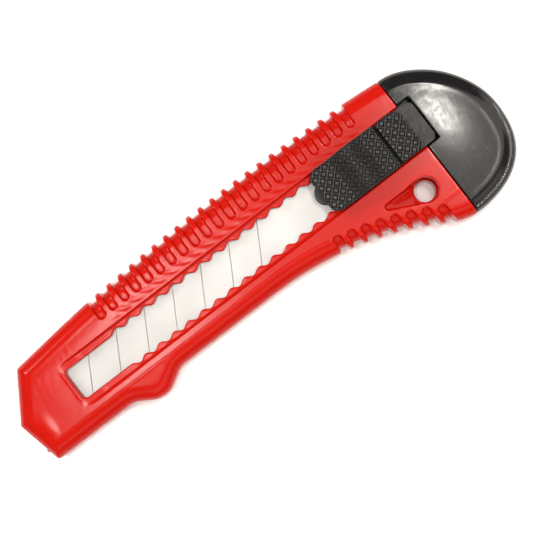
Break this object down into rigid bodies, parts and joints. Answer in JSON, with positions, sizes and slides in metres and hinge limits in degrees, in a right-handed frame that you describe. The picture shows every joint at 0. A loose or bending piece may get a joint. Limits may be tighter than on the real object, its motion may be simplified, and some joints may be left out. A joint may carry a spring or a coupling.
{
  "type": "snap-off utility knife",
  "caption": "Retractable snap-off blade cutter: ribbed plastic handle with a toothed slot, locking thumb slider, scored steel blade and pull-off end cap.",
  "frame": {"origin": "under the middle of the knife, on the plane of its flat back", "axes": "+X from the blade's mouth to the end cap, +Y from the cutting edge to the blade's back, +Z from the flat back to the thumb slider"},
  "size_m": [0.1619, 0.0492, 0.0184],
  "materials": {
    "red_plastic": "satin moulded polypropylene",
    "black_gloss_plastic": "gloss, lightly scuffed",
    "charcoal_plastic": "satin moulded, knurled",
    "spring_steel": "rolled",
    "blade_steel": "ground satin"
  },
  "bodies": {
    "handle": {"handle_shell": "red_plastic"},
    "slider": {"slide_carrier": "charcoal_plastic", "blade": "blade_steel", "lock_spring": "spring_steel"},
    "button": {"thumb_button": "charcoal_plastic"},
    "cap": {"end_cap": "black_gloss_plastic"}
  },
  "joints": [
    {"name": "blade_slide", "type": "slide", "parent": "handle", "child": "slider", "axis": [-1, 0, 0], "range_m": [0, 0.085], "deforming": ["lock_spring"]},
    {"name": "button_press", "type": "slide", "parent": "slider", "child": "button", "axis": [0, 0, -1], "range_m": [0, 0.0011], "stiffness_N_per_m": 1500, "springref_m": -0.0005, "deforming": ["lock_spring"]},
    {"name": "cap_pull", "type": "slide", "parent": "handle", "child": "cap", "axis": [1, 0, 0], "range_m": [0, 0.018]}
  ]
}
